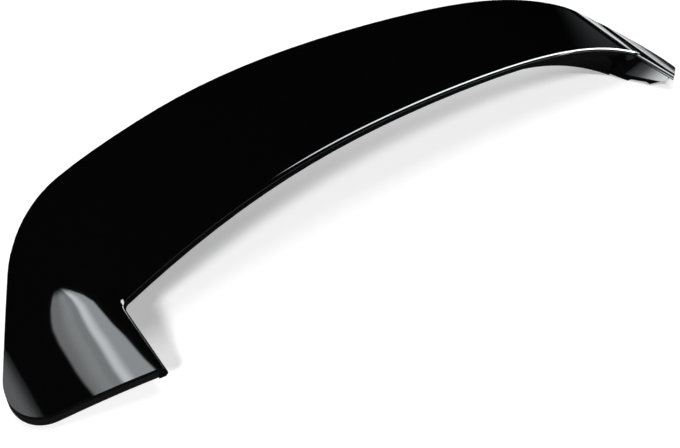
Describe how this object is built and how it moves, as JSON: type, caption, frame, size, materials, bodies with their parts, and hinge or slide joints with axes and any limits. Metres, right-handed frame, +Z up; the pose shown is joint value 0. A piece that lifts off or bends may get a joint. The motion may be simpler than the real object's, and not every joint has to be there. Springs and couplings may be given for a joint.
{
  "type": "roof spoiler",
  "caption": "Arched car roof spoiler blade with a rolled trailing lip and swept arms at both ends, fixed by studs under its hollow shell.",
  "frame": {"origin": "middle of the four-stud pattern, on the plane where the mounting towers seat on the tailgate", "axes": "+X across the car to its right, +Y towards the front of the car, +Z up; the trailing edge and the arms point towards -Y"},
  "size_m": [1.1904, 0.2483, 0.1573],
  "materials": {
    "painted_shell": "deep gloss black paint under a clear coat",
    "painted_panel": "gloss black paint, a little thinner than on top",
    "seal_rubber": "satin black extruded rubber",
    "stud_steel": "bright zinc plate",
    "gasket_foam": "closed-cell foam rubber"
  },
  "bodies": {
    "root": {"upper_shell": "painted_shell", "lower_panel": "painted_panel", "edge_seal_left": "seal_rubber", "edge_seal_right": "seal_rubber", "mounting_studs": "stud_steel", "stud_gaskets": "gasket_foam"}
  },
  "joints": []
}
